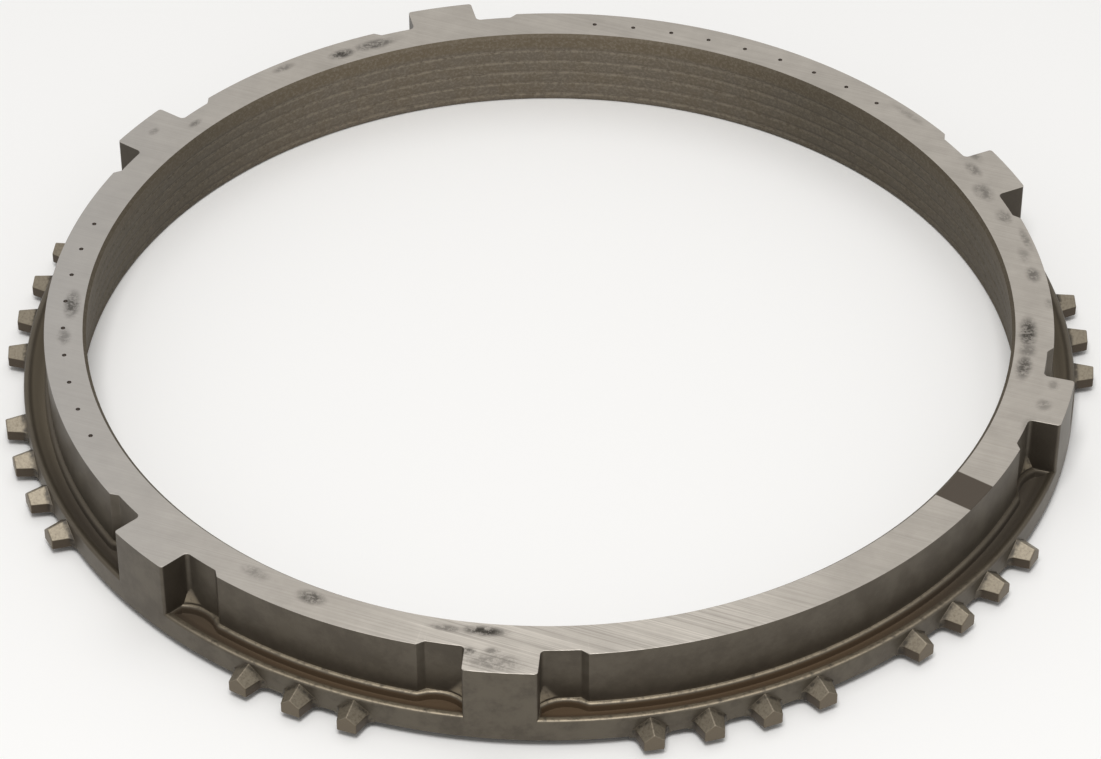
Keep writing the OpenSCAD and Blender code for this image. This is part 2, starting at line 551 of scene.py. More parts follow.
@dataclass(frozen=True)
class Flange:
    """Turned disc whose rim carries the teeth, with the low hub under it."""

    sizes: RingSizes
    hub_r: float = 90.5
    hub_chamfer: float = 0.4
    hub_fillet: float = 0.3
    rim_round: float = 0.5
    rim_chamfer: float = 0.3
    segments: int = 480

    def build(self) -> Object:
        """Makes the disc.

        Returns:
            The disc, with its middle still full.
        """
        s = self.sizes
        levels = [
            *quarter(s.rim_r - self.rim_round, s.flange_z - self.rim_round, self.rim_round, 90, 0, steps=6),
            Level(s.rim_r, s.hub_h + self.rim_chamfer),
            Level(s.rim_r - self.rim_chamfer, s.hub_h),
            *quarter(self.hub_r + self.hub_fillet, s.hub_h - self.hub_fillet, self.hub_fillet, 90, 180),
            Level(self.hub_r, self.hub_chamfer),
            Level(self.hub_r - self.hub_chamfer, 0),
        ]
        return loft("flange", circle_samples(self.segments), levels)


@dataclass(frozen=True)
class Wall:
    """Wall with its lugs and the relief pockets beside them."""

    sizes: RingSizes
    pocket_l: float = 6.7
    pocket_slant: float = 1.25
    edge_round: float = 0.35
    lug_round: float = 0.6
    pocket_round: float = 0.9
    slant_round: float = 0.6
    top_round: float = 0.1
    foot_round: float = 0.04
    proud: float = 0.01
    sunk: float = 0.5
    fade_from: float = 3.6
    fade_to: float = 2.8
    step: float = 1.3

    def _lug_sides(self) -> list[Side]:
        """Draws the plan of the lug on +X.

        Returns:
            Sides from the wall before the lug to the slant behind it.
        """
        s = self.sizes
        flank = s.lug_w / 2
        lug_r = s.rim_r + self.proud
        back_angle = math.asin((flank + self.pocket_l) / s.pocket_r)
        front_angle = back_angle + self.pocket_slant / s.pocket_r
        foot = polar(s.pocket_r, back_angle)
        head = polar(s.wall_r, front_angle)
        rise = math.atan2(head.y - foot.y, head.x - foot.x)
        axis = Vector((0, 0))
        return [
            Side(Arc(axis, s.wall_r), mirrored(head), self.edge_round),
            Side(Straight(mirrored(foot), math.pi - rise), mirrored(foot), self.slant_round),
            Side(Arc(axis, s.pocket_r), Vector((s.pocket_r, -flank)), self.pocket_round),
            Side(Straight(Vector((0, -flank)), 0), Vector((lug_r, -flank)), self.lug_round),
            Side(Arc(axis, lug_r), Vector((lug_r, flank)), self.lug_round),
            Side(Straight(Vector((0, flank)), math.pi), Vector((s.pocket_r, flank)), self.pocket_round),
            Side(Arc(axis, s.pocket_r), foot, self.slant_round),
            Side(Straight(foot, rise), head, self.edge_round),
        ]

    def build(self) -> Object:
        """Makes the wall.

        Returns:
            The wall, with its middle still full and its foot sunk into the flange.
        """
        s = self.sizes
        lug = self._lug_sides()
        samples = Outline([side.turned(a) for a in s.lug_angles() for side in lug], self.step).samples()
        fade = self.fade_from - self.fade_to
        flares = [
            min(1.0, max(0.0, (s.rim_r - self.fade_to - point.length) / fade)) for point, _ in samples
        ]
        foot = quarter(self.foot_round, s.flange_z + self.foot_round, self.foot_round, 180, 270)
        levels = [
            *quarter(-self.top_round, s.height - self.top_round, self.top_round, 90, 0),
            *[Level(0, level.z, level.out) for level in foot],
            Level(0, s.flange_z - self.sunk / 4, self.foot_round),
            Level(0, s.flange_z - self.sunk),
            Level(-self.sunk, s.flange_z - 2 * self.sunk),
        ]
        return loft("wall", samples, levels, flares)


@dataclass(frozen=True)
class CornerWebs:
    """Hollow-faced webs in the corners between the lugs and their pockets."""

    sizes: RingSizes
    height: float = 5.0
    length: float = 3.6
    width: float = 1.5
    hollow: float = 1.6
    top_share: float = 0.94
    root: float = 0.8
    sunk: float = 0.4
    steps: int = 10

    def _loop(self, rise: float, z: float, side: int) -> list[Vector]:
        """Loop round a web beside the lug on +X.

        Args:
            rise: Share of the web's height at which its face is cut.
            z: Height of the loop.
            side: 1 for the web on the lug's left, -1 for the one on its right.

        Returns:
            Points of the loop, anticlockwise when they are seen from above.
        """
        s = self.sizes
        flank = s.lug_w / 2
        shrink = (1 - rise) ** self.hollow
        plan = []
        for i in range(self.steps + 1):
            share = i / self.steps
            y = flank + share * self.length * shrink
            out = self.width * shrink * (1 - share) ** self.hollow
            plan.append((math.sqrt(s.pocket_r**2 - y**2) + out, y))
        corner_x = math.sqrt(s.pocket_r**2 - flank**2)
        plan += [
            (plan[-1][0] - self.root, plan[-1][1]),
            (corner_x - self.root, flank - self.root),
            (plan[0][0], flank - self.root),
        ]
        return [Vector((x, side * y, z)) for x, y in plan[::side]]

    def build(self, material: Material) -> list[Object]:
        """Makes the webs.

        Args:
            material: Material of the webs.

        Returns:
            The webs on the left and on the right of all lugs, as two pieces.
        """
        s = self.sizes
        rises = [self.top_share * (1 - i / self.steps) for i in range(self.steps + 1)]
        places_up = [(rise, s.flange_z + rise * self.height) for rise in rises]
        places_up.append((0.0, s.flange_z - self.sunk))
        rows = PolarRows(2, 2 * s.lug_spread, 0, s.pair_count, math.tau / s.pair_count)
        return [
            rows.repeat(skin("web", [self._loop(rise, z, side) for rise, z in places_up], False), material)
            for side in (1, -1)
        ]


@dataclass(frozen=True)
class Channels:
    """Channels behind the rim, from lug to lug, which run into the pockets in small arches."""

    sizes: RingSizes
    land_w: float = 0.8
    crest_w: float = 0.55
    depth: float = 1.7
    end_gap: float = 0.3
    ramp_steps: int = 14
    inner_lip: float = 0.7
    inner_round: float = 0.15
    arch_r: float = 6.4
    arch_offset: float = 4.9
    arch_land: float = 0.6
    end_round: float = 0.4
    arch_blend: float = 2.0
    over: float = 5.5
    past_rim: float = 1.5
    step: float = 1.3
    segments: int = 480

    def _outline(self, first_lug: float, last_lug: float) -> Outline:
        """Outline of the channel between two lugs, which runs out over the rim.

        Args:
            first_lug: Angle of the lug at its start.
            last_lug: Angle of the lug at its end.

        Returns:
            The outline, from the rim's side round to it again.
        """
        s = self.sizes
        axis = Vector((0, 0))
        outer_r = s.rim_r + self.past_rim
        inner_r = s.wall_r + self.land_w
        end = s.lug_w / 2 + self.end_gap
        arch_centre_r = s.pocket_r + self.arch_land + self.arch_r
        arch_angle = math.asin((s.lug_w / 2 + self.arch_offset) / arch_centre_r)
        arch_half = self.arch_offset / arch_centre_r / 2
        first_arch = first_lug + arch_angle
        last_arch = last_lug - arch_angle
        last_end = Side(Straight(Vector((0, -end)), math.pi), Vector((inner_r, -end)), self.end_round)
        first_end = Side(Straight(Vector((0, end)), 0), Vector((outer_r, end)), self.end_round)
        sides = [
            Side(Arc(axis, outer_r), turned(Vector((outer_r, -end)), last_lug), self.end_round),
            last_end.turned(last_lug),
            Side(
                Arc(polar(arch_centre_r, last_arch), self.arch_r),
                polar(inner_r, last_arch - arch_half),
                self.arch_blend,
            ),
            Side(Arc(axis, inner_r, False), polar(inner_r, first_arch + arch_half), self.arch_blend),
            Side(
                Arc(polar(arch_centre_r, first_arch), self.arch_r),
                turned(Vector((inner_r, end)), first_lug),
                self.end_round,
            ),
            first_end.turned(first_lug),
        ]
        return Outline(sides, self.step)

    def _turned_section(self) -> Object:
        """Makes the form of the channels' outer side.

        Returns:
            Disc whose edge is a gentle ramp from the channels' floor up to the crest.
        """
        s = self.sizes
        crest_r = s.rim_r - self.crest_w
        floor_r = s.wall_r + self.land_w + self.inner_round
        floor_z = s.flange_z - self.depth
        levels = [Level(crest_r, s.flange_z + 2 * self.over)]
        for i in range(self.ramp_steps + 1):
            share = 1 - i / self.ramp_steps
            rise = (1 - math.cos(math.pi * share)) / 2
            levels.append(Level(floor_r + (crest_r - floor_r) * share, floor_z + self.depth * rise))
        return loft("channel_section", circle_samples(self.segments), levels)

    def build(self) -> list[Object]:
        """Makes the channels.

        Returns:
            The shells that are cut out of the flange.
        """
        s = self.sizes
        floor_z = s.flange_z - self.depth
        levels = [
            Level(self.inner_lip, s.flange_z + self.over),
            *quarter(self.inner_lip, s.flange_z - self.inner_lip, self.inner_lip, 90, 180),
            *quarter(-self.inner_round, floor_z + self.inner_round, self.inner_round, 0, -90),
            Level(-self.inner_round, floor_z - self.inner_round),
        ]
        lugs = s.lug_angles()
        ends = lugs[1:] + [lugs[0] + math.tau]
        shells = []
        for between in zip(lugs, ends):
            shell = loft("channel", self._outline(*between).samples(), levels, fans=False)
            carve(shell, self._turned_section(), Join.SHARE)
            shells.append(shell)
        return shells


@dataclass(frozen=True)
class FrictionCone:
    """Space inside the ring: the cone with its oil grooves and the chamfers at both ends."""

    sizes: RingSizes
    groove_pitch: float = 2.87
    groove_first: float = 4.1
    groove_count: int = 5
    groove_w: float = 0.7
    groove_depth: float = 0.16
    top_chamfer: float = 0.6
    low_chamfer: float = 0.4
    over: float = 1.0
    segments: int = 480

    def build(self) -> Object:
        """Makes the space inside the ring.

        Returns:
            The shell that is cut out of the ring.
        """
        s = self.sizes
        chamfer_z = s.height - self.top_chamfer
        levels = [
            Level(s.cone_r(chamfer_z) + self.top_chamfer + self.over, s.height + self.over),
            Level(s.cone_r(chamfer_z), chamfer_z),
        ]
        # Section of a groove, in shares of its half width and of its depth.
        section = ((1, 0.0), (0.4, 0.8), (0, 1.0), (-0.4, 0.8), (-1, 0.0))
        for i in range(self.groove_count):
            z = s.height - self.groove_first - i * self.groove_pitch
            for rise, depth in section:
                place = z + rise * self.groove_w / 2
                levels.append(Level(s.cone_r(place) + depth * self.groove_depth, place))
        levels += [
            Level(s.cone_r(self.low_chamfer), self.low_chamfer),
            Level(s.cone_r(self.low_chamfer) + self.low_chamfer + self.over, -self.over),
        ]
        return loft("cone", circle_samples(self.segments), levels)


@dataclass(frozen=True)
class Teeth:
    """Roof-pointed teeth on the rim, in a short group within each pair of lugs and a long one between two."""

    sizes: RingSizes
    tip_r: float = 100.0
    tip_w: float = 3.5
    root_w: float = 5.4
    roof_angle: float = math.radians(40)
    eave_h: float = 2.05
    pitch: float = math.radians(6)
    short_group: int = 3
    long_places: int = 9
    root_round: float = 1.0
    root_share: float = 0.65
    tip_round: float = 0.22
    low_round: float = 0.25
    eave_round: float = 0.25
    ridge_round: float = 0.25
    round_steps: int = 4
    seat: float = 0.6
    lift: float = 0.01

    def _section(self, x: float, out: float, flare: float) -> list[Vector]:
        """Loop round a tooth on +X.

        Args:
            x: Distance of the section from the axis.
            out: Distance by which the loop stands out of the plain section.
            flare: Distance by which the root fillet widens the section's lower edge there.

        Returns:
            Points of the loop, anticlockwise when they are seen from the tip.
        """
        s = self.sizes
        half_tip = self.tip_w / 2
        half_root = self.root_w / 2
        root_x = math.sqrt(s.rim_r**2 - half_root**2)
        slope = (half_root - half_tip) / (self.tip_r - root_x)
        half = half_tip + (self.tip_r - max(x, root_x)) * slope
        pitch = math.atan(math.tan(self.roof_angle) * math.cos(math.atan(slope)))
        low_z = s.hub_h + self.lift
        roof_z = s.hub_h + self.eave_h
        ridge = Vector((0, roof_z + half * math.tan(pitch)))
        low = half + flare
        eave = half + self.root_share * flare
        eave_z = roof_z - (eave - half) * math.tan(pitch)
        lean = math.atan2(eave_z - low_z, eave - low)
        sides = [
            Side(Straight(Vector((0, low_z)), 0), Vector((low, low_z)), self.low_round),
            Side(Straight(Vector((low, low_z)), lean), Vector((eave, eave_z)), self.eave_round),
            Side(Straight(ridge, math.pi - pitch), ridge, self.ridge_round),
            Side(Straight(ridge, math.pi + pitch), Vector((-eave, eave_z)), self.eave_round),
            Side(Straight(Vector((-low, low_z)), -lean), Vector((-low, low_z)), self.low_round),
        ]
        # The step is longer than any side, so that each side is sampled once.
        samples = Outline(sides, 2 * self.root_w + 2 * self.root_round, self.round_steps).samples()
        return [Vector((x, *(point + normal * out))) for point, normal in samples]

    def _tooth(self) -> Object:
        """Makes one tooth.

        Returns:
            The tooth on +X, from its tip to its seat in the rim.
        """
        rim_x = math.sqrt(self.sizes.rim_r**2 - (self.root_w / 2) ** 2)
        tip = quarter(-self.tip_round, self.tip_r - self.tip_round, self.tip_round, 90, 0)
        root = quarter(self.root_round, rim_x + self.root_round, self.root_round, 180, 270, steps=6)
        loops = [self._section(level.z, level.out, 0) for level in tip]
        loops += [self._section(level.z, 0, level.out) for level in root]
        loops.append(self._section(rim_x - self.seat, 0, self.root_round))
        return skin("tooth", loops)

    def build(self, material: Material) -> list[Object]:
        """Makes the teeth.

        Args:
            material: Material of the teeth.

        Returns:
            The teeth of the short groups and of the long ones, as two pieces.
        """
        pairs = self.sizes.pair_count
        turn = math.tau / pairs
        short = PolarRows(self.short_group, self.pitch, 0, pairs, turn)
        long = PolarRows(self.long_places, self.pitch, turn / 2, pairs, turn, True)
        return [rows.repeat(self._tooth(), material) for rows in (short, long)]


@dataclass(frozen=True)
class PunchMarks:
    """Rows of small punch marks on the ground face."""

    sizes: RingSizes
    circle_r: float = 88.3
    count: int = 9
    pitch: float = math.radians(5)
    rows: int = 2
    radius: float = 0.42
    depth: float = 0.4
    over: float = 0.3
    segments: int = 16

    def build(self, material: Material) -> Object:
        """Makes the punch marks.

        Args:
            material: Material of the shells.

        Returns:
            The shells that are cut out of the ground face, as one piece.
        """
        s = self.sizes
        # Levels of a mark, in shares of its radius and of its depth.
        section = ((1 + self.over, self.over), (1, 0), (0.75, -0.45), (0.4, -0.85), (0.12, -1))
        directions = [normal for _, normal in circle_samples(self.segments)]
        loops = []
        for share, rise in section:
            middle = Vector((self.circle_r, 0, s.height + rise * self.depth))
            loops.append([middle + (normal * share * self.radius).to_3d() for normal in directions])
        turn = math.tau / s.pair_count
        rows = PolarRows(self.count, self.pitch, turn / 2, self.rows, turn)
        return rows.repeat(skin("punch_marks", loops), material)


@dataclass(frozen=True)
class Smudge:
    """Smear of dark grease on the ground face."""

    angle_deg: float
    radius: float
    length: float
    width: float
    strength: float


SMUDGES = (
    Smudge(350.5, 87.0, 9, 3.4, 1.0),
    Smudge(344.0, 86.9, 7.5, 3.0, 0.85),
    Smudge(347.2, 87.1, 5, 3.4, 0.6),
    Smudge(341.6, 92.8, 3.0, 2.2, 0.4),
    Smudge(338.0, 92.2, 3.6, 3.0, 0.45),
    Smudge(334.0, 91.0, 5, 2.6, 0.35),
    Smudge(355.8, 91.2, 3.6, 1.8, 0.4),
    Smudge(1.3, 89.4, 4.5, 2.8, 0.7),
    Smudge(5.0, 89.0, 5, 2.4, 0.35),
    Smudge(8.0, 90.6, 7, 1.8, 0.5),
    Smudge(12.7, 88.9, 4.5, 3.0, 0.6),
    Smudge(18.0, 88.3, 6, 3.6, 0.6),
    Smudge(22.5, 90.0, 5, 2.6, 0.55),
    Smudge(25.0, 92.6, 5, 2.4, 0.45),
    Smudge(35.5, 90.2, 9, 1.8, 0.3),
    Smudge(113.4, 88.0, 5.5, 3.0, 1.0),
    Smudge(108.8, 88.2, 9, 3.2, 0.8),
    Smudge(121.2, 89.9, 5, 2.0, 0.55),
    Smudge(141.0, 92.5, 2.6, 1.8, 0.45),
    Smudge(136.7, 87.8, 3.2, 1.6, 0.6),
    Smudge(175.6, 87.0, 8, 3.0, 0.85),
    Smudge(181.6, 88.1, 5, 2.6, 0.5),
    Smudge(231.0, 87.1, 6, 2.6, 0.4),
    Smudge(238.6, 87.4, 5.5, 3.4, 0.85),
    Smudge(254.4, 86.9, 6, 1.8, 0.6),
    Smudge(258.8, 86.6, 8, 2.6, 1.0),
    Smudge(257.5, 91.7, 3.0, 2.0, 0.8),
    Smudge(260.0, 91.2, 3.0, 1.8, 0.6),
    Smudge(260.4, 93.8, 11, 5.0, 0.5),
)


def start_material(name: str) -> tuple[Material, NodeTree]:
    """Starts a material.

    Args:
        name: Name of the material.

    Returns:
        The new material, and its node tree, which is empty.
    """
    material = bpy.data.materials.new(name)
    material.use_nodes = True
    material.node_tree.nodes.clear()
    return material, material.node_tree


class Coating:
    """Material in the making, which knows where a point of the ring's surface lies, in millimetres.

    A share of a coat is a socket, a number or a ramp. A ramp is a tuple of a socket with the values at which
    it starts and ends, and it rises smoothly from 0 to 1, unless two more numbers say between what.
    """

    def __init__(self, name: str) -> None:
        """Starts the material.

        Args:
            name: Name of the material.
        """
        self.material, self.tree = start_material(name)
        metres = {0: add(self.tree, "ShaderNodeTexCoord")["Object"], "Scale": 1 / MM}
        self.point = add(self.tree, "ShaderNodeVectorMath", metres, operation="SCALE")[0]
        self.x, _, self.z = add(self.tree, "ShaderNodeSeparateXYZ", {0: self.point})
        level = {0: self.point, 1: (1, 1, 0)}
        self.flat = add(self.tree, "ShaderNodeVectorMath", level, operation="MULTIPLY")[0]
        self.radius = add(self.tree, "ShaderNodeVectorMath", {0: self.flat}, operation="LENGTH")["Value"]

    def slopes(self) -> tuple[NodeSocket, NodeSocket]:
        """Reads where the surface looks.

        Returns:
            Sockets with how far it looks upward and outward, from -1 to 1.
        """
        normal = add(self.tree, "ShaderNodeNewGeometry")["Normal"]
        upward = add(self.tree, "ShaderNodeSeparateXYZ", {0: normal})[2]
        radial = add(self.tree, "ShaderNodeVectorMath", {0: self.flat}, operation="NORMALIZE")[0]
        both = {0: normal, 1: radial}
        return upward, add(self.tree, "ShaderNodeVectorMath", both, operation="DOT_PRODUCT")["Value"]

    def mask(self, *shares: NodeSocket | float | tuple) -> NodeSocket:
        """Multiplies shares.

        Args:
            shares: Sockets, numbers and ramps, of which the first isn't a number.

        Returns:
            Socket with their product.
        """
        factors = []
        for share in shares:
            if isinstance(share, tuple):
                ramp = dict(enumerate(share))
                share = add(self.tree, "ShaderNodeMapRange", ramp, interpolation_type="SMOOTHSTEP")[0]
            factors.append(share)
        product = factors[0]
        for factor in factors[1:]:
            product = add(self.tree, "ShaderNodeMath", {0: product, 1: factor}, operation="MULTIPLY")[0]
        return product

    def facing(self, angle: float, cosines: tuple[float, float]) -> NodeSocket:
        """Mask of one side of the ring.

        Args:
            angle: Direction of the side, seen from the axis.
            cosines: Cosines of the turns from that direction at which the mask starts and is full.

        Returns:
            Socket with the mask, from 0 to 1.
        """
        ahead = {0: self.point, 1: polar(1, angle).to_3d()}
        reach = add(self.tree, "ShaderNodeVectorMath", ahead, operation="DOT_PRODUCT")["Value"]
        cosine = add(self.tree, "ShaderNodeMath", {0: reach, 1: self.radius}, operation="DIVIDE")[0]
        return self.mask((cosine, *cosines))

    def paint(self, base: str, coats: Sequence[tuple]) -> NodeSocket:
        """Lays coats of colour on each other.

        Args:
            base: Colour under them all.
            coats: Colour and shares of each coat, the lowest one first.

        Returns:
            Socket with the colour that shows.
        """
        colour = linear(base)
        for tint, *shares in coats:
            mixed = {"Factor": self.mask(*shares), COLOUR_A: colour, COLOUR_B: linear(tint)}
            colour = add(self.tree, "ShaderNodeMix", mixed, data_type="RGBA")[COLOUR_RESULT]
        return colour

    def close(
        self,
        colour: NodeSocket,
        metallic: NodeSocket | float,
        roughness: NodeSocket | float,
        relief: NodeSocket,
        bump: tuple[float, float],
    ) -> Material:
        """Ends the material in its shader.

        Args:
            colour: Colour of the surface.
            metallic: Share of bare metal.
            roughness: Roughness of the surface.
            relief: Heights of its fine relief, from 0 to 1.
            bump: Strength of the relief, and its depth in millimetres.

        Returns:
            The finished material.
        """
        strength, depth = bump
        heights = {"Strength": strength, "Distance": depth * MM, "Height": relief}
        normal = add(self.tree, "ShaderNodeBump", heights)[0]
        look = {"Base Color": colour, "Metallic": metallic, "Roughness": roughness, "Normal": normal}
        shader = add(self.tree, "ShaderNodeBsdfPrincipled", look)[0]
        add(self.tree, "ShaderNodeOutputMaterial", {0: shader})
        return self.material


@dataclass(frozen=True)
class GroundSteel:
    """Case-hardened steel off a surface grinder.

    A silky grey that mirrors the studio softly. The wheel's straight lines show most at the front, where a
    painted reflection also lightens the face and strengthens the lines, a bluish-grey painted reflection lies
    over its left side, dark grease is smeared on it in places, and one bare field across it is etched dark.
    """

    sizes: RingSizes
    pale: str = "#c0b9af"
    dull: str = "#878179"
    # Bluish-grey painted reflection over the left side of the face.
    cool_reflection: str = "#9a9896"
    grease: str = "#37332d"
    etched: str = "#4b433a"
    line_angle: float = math.radians(-26)
    # Painted reflection: towards the front the face is lighter and its grinding lines are stronger.
    sheen_angle: float = math.radians(271)
    sheen_cosines: tuple[float, float] = (0.86, 0.985)
    line_limits: tuple[float, float] = (0.34, 0.66)
    unlit_contrast: float = 0.2
    sheen_contrast: float = 0.85
    unlit_level: float = 0.17
    sheen_level: float = 0.4
    fine_share: float = 0.65
    cloud_share: float = 0.5
    reflection_from: float = -45.0
    reflection_to: float = -92.0
    reflection_share: float = 0.55
    smear_edge: float = 1.3
    smear_core: float = 0.3
    thin_grease: float = 0.35
    field_angle: float = math.radians(320.5)
    field_half_w: float = 3.75
    field_blur: float = 0.12
    roughness: float = 0.36
    dull_roughness: float = 0.55
    metallic: float = 0.75
    bump: tuple[float, float] = (0.12, 0.05)

    def _grinding(self, face: Coating) -> list[NodeSocket]:
        """Draws the lines that the grinding wheel left.

        Args:
            face: Material in the making.

        Returns:
            Sockets with the strengths of the fine and the broad lines.
        """
        turn = {"Vector": face.point, "Rotation": (0, 0, -self.line_angle)}
        along = add(face.tree, "ShaderNodeMapping", turn)[0]
        # The grit's own lines are drawn 0.3 mm wide and 30 mm long, since finer ones wouldn't show. The
        # wheel's passes are about 1.5 mm wide and 55 mm long.
        lines = []
        for width, length in ((0.3, 30.0), (1.5, 55.0)):
            stretch = (1 / length, 1 / width, 1 / length)
            drawn = add(face.tree, "ShaderNodeVectorMath", {0: along, 1: stretch}, operation="MULTIPLY")[0]
            noise = {"Vector": drawn, "Scale": 1.0, "Detail": 3.0, "Roughness": 0.6}
            lines.append(add(face.tree, "ShaderNodeTexNoise", noise)["Fac"])
        return lines

    def _grease(self, face: Coating) -> NodeSocket:
        """Smears the grease.

        Args:
            face: Material in the making.

        Returns:
            Socket with the strength of the grease, from 0 to 1.
        """
        strongest: NodeSocket | float = 0.0
        for smudge in SMUDGES:
            angle = math.radians(smudge.angle_deg)
            oval = {
                "Vector": face.point,
                "Location": (*polar(smudge.radius, angle), self.sizes.height),
                "Rotation": (0, 0, angle),
                "Scale": (smudge.width / 2, smudge.length / 2, 1.0),
            }
            local = add(face.tree, "ShaderNodeMapping", oval, vector_type="TEXTURE")[0]
            reach = add(face.tree, "ShaderNodeVectorMath", {0: local}, operation="LENGTH")["Value"]
            smear = face.mask((reach, self.smear_edge, self.smear_core, 0.0, smudge.strength))
            strongest = add(face.tree, "ShaderNodeMath", {0: smear, 1: strongest}, operation="MAXIMUM")[0]
        # Grease clings in flecks of about 1.1 mm.
        fleck_mm = 1.1
        noise = {"Vector": face.point, "Scale": 1 / fleck_mm, "Detail": 4.0, "Roughness": 0.7}
        flecks = add(face.tree, "ShaderNodeTexNoise", noise)["Fac"]
        return face.mask(strongest, (flecks, 0.36, 0.57, self.thin_grease, 1.0))

    def _etched_field(self, face: Coating) -> NodeSocket:
        """Marks off the bare dark field that is etched across the face.

        Args:
            face: Material in the making.

        Returns:
            Socket with the mask of the field, from 0 to 1.
        """
        turn = {"Vector": face.point, "Rotation": (0, 0, -self.field_angle)}
        local = add(face.tree, "ShaderNodeMapping", turn)[0]
        along, across, _ = add(face.tree, "ShaderNodeSeparateXYZ", {0: local})
        ahead = add(face.tree, "ShaderNodeMath", {0: along, 1: 0.0}, operation="GREATER_THAN")[0]
        side = add(face.tree, "ShaderNodeMath", {0: across}, operation="ABSOLUTE")[0]
        within = (side, self.field_half_w + self.field_blur, self.field_half_w - self.field_blur)
        return face.mask(ahead, within)

    def material(self) -> Material:
        """Makes the material.

        Returns:
            The finish as a material.
        """
        face = Coating("ground_steel")
        fine, broad = self._grinding(face)
        both = {"Factor": self.fine_share, "A": broad, "B": fine}
        drawn = add(face.tree, "ShaderNodeMix", both, data_type="FLOAT")["Result"]
        # Painted reflection, strongest at the front.
        front_sheen = face.facing(self.sheen_angle, self.sheen_cosines)
        grease = self._grease(face)
        field = self._etched_field(face)
        dulled = add(face.tree, "ShaderNodeMath", {0: grease, 1: field}, operation="MAXIMUM")[0]
        ranges = (
            (drawn, *self.line_limits, -0.5, 0.5),
            (front_sheen, 0.0, 1.0, self.unlit_contrast, self.sheen_contrast),
            (front_sheen, 0.0, 1.0, self.unlit_level, self.sheen_level),
            (face.x, self.reflection_from, self.reflection_to, 0.0, self.reflection_share),
            (dulled, 0.0, 1.0, self.roughness, self.dull_roughness),
        )
        lines, contrast, level, reflected, rough = (
            add(face.tree, "ShaderNodeMapRange", dict(enumerate(limits)))[0] for limits in ranges
        )
        # Handling has left faint clouds of about 6 mm.
        cloud_mm = 6.0
        noise = {"Vector": face.point, "Scale": 1 / cloud_mm, "Detail": 5.0, "Roughness": 0.65}
        clouds = {0: add(face.tree, "ShaderNodeTexNoise", noise)["Fac"], 1: self.cloud_share, 2: level}
        clouded = add(face.tree, "ShaderNodeMath", clouds, operation="MULTIPLY_ADD")[0]
        lined = {0: lines, 1: contrast, 2: clouded}
        shade = add(face.tree, "ShaderNodeMath", lined, operation="MULTIPLY_ADD", use_clamp=True)[0]
        coats = (
            (self.pale, shade),
            # Bluish-grey painted reflection on the left side.
            (self.cool_reflection, reflected),
            (self.grease, grease),
            (self.etched, field),
        )
        return face.close(face.paint(self.dull, coats), self.metallic, rough, fine, self.bump)


@dataclass(frozen=True)
class FrictionLining:
    """Sprayed friction layer on the cone.

    Matt and speckled like fine sandpaper, with paler, broken lines where the oil grooves run, a line of
    painted shade along each groove's upper edge, a browner, plainer band above them, and both sides darkened
    by painted shade.
    """

    sizes: RingSizes
    cone: FrictionCone
    plain: str = "#696053"
    speck: str = "#877d6e"
    groove: str = "#8e8474"
    band: str = "#695d4a"
    dark: str = "#453d31"
    # Painted shade, multiplied over both sides of the cone, away from its lit back.
    side_shade_tint: str = "#c2c1bc"
    lit_angle: float = math.radians(93)
    aside_cosines: tuple[float, float] = (1.0, 0.66)
    speck_share: float = 0.6
    groove_share: float = 0.9
    line_rise: float = 0.9
    # Strengths of the painted shade along the grooves, at the lit back and on the sides.
    lit_line_share: float = 0.14
    shaded_line_share: float = 0.42
    chamfer_share: float = 0.35
    blotch_share: float = 0.45
    roughness: float = 0.75
    metallic: float = 0.25
    bump: tuple[float, float] = (0.5, 0.08)

    def material(self) -> Material:
        """Makes the material.

        Returns:
            The finish as a material.
        """
        coat = Coating("friction_lining")
        upward, _ = coat.slopes()
        # The sprayed grain is about 0.55 mm, the grooves are rubbed free in patches of about 1.1 mm, and oil
        # has browned the lining in blotches of about 5 mm.
        noises = [
            {"Vector": coat.point, "Scale": 1 / size, "Detail": 3.0, "Roughness": 0.65}
            for size in (0.55, 1.1, 5.0)
        ]
        grain, patches, blotches = (add(coat.tree, "ShaderNodeTexNoise", noise)["Fac"] for noise in noises)
        width = self.cone.groove_w
        pitch = self.cone.groove_pitch
        first_z = self.sizes.height - self.cone.groove_first
        # Each groove has a line of painted shade along its upper edge, stronger on the sides.
        below_first, below_line = (
            add(coat.tree, "ShaderNodeMath", {0: level, 1: coat.z}, operation="SUBTRACT")[0]
            for level in (first_z, first_z + self.line_rise * width)
        )
        from_groove, from_line = (
            add(coat.tree, "ShaderNodeMath", {0: below, 1: pitch / 2}, operation="PINGPONG")[0]
            for below in (below_first, below_line)
        )
        below_band = (below_first, -0.6 * pitch, -0.1 * pitch)
        above_band = (below_first, -0.1 * pitch, -0.6 * pitch)
        aside = coat.facing(self.lit_angle, self.aside_cosines)
        shades = {"Value": aside, "To Min": self.lit_line_share, "To Max": self.shaded_line_share}
        line = add(coat.tree, "ShaderNodeMapRange", shades)[0]
        in_groove = (from_groove, 0.8 * width, 0.1 * width)
        on_line = (from_line, 0.55 * width, 0.05 * width)
        rubbed = (patches, 0.3, 0.62)
        coats = (
            (self.plain, below_band),
            (self.band, (blotches, 0.4, 0.62), self.blotch_share),
            (self.speck, (grain, 0.42, 0.68), self.speck_share),
            (self.dark, (upward, 0.0, 0.4), above_band, self.chamfer_share),
            # Painted shade along the upper edge of each groove.
            (self.dark, on_line, below_band, line),
            (self.groove, in_groove, below_band, rubbed, self.groove_share),
        )
        # Painted shade darkens both sides of the cone.
        side_shading = {"Factor": aside, COLOUR_A: coat.paint(self.band, coats), COLOUR_B: linear(self.side_shade_tint)}
        mixed = add(coat.tree, "ShaderNodeMix", side_shading, data_type="RGBA", blend_type="MULTIPLY")
        return coat.close(mixed[COLOUR_RESULT], self.metallic, self.roughness, grain, self.bump)


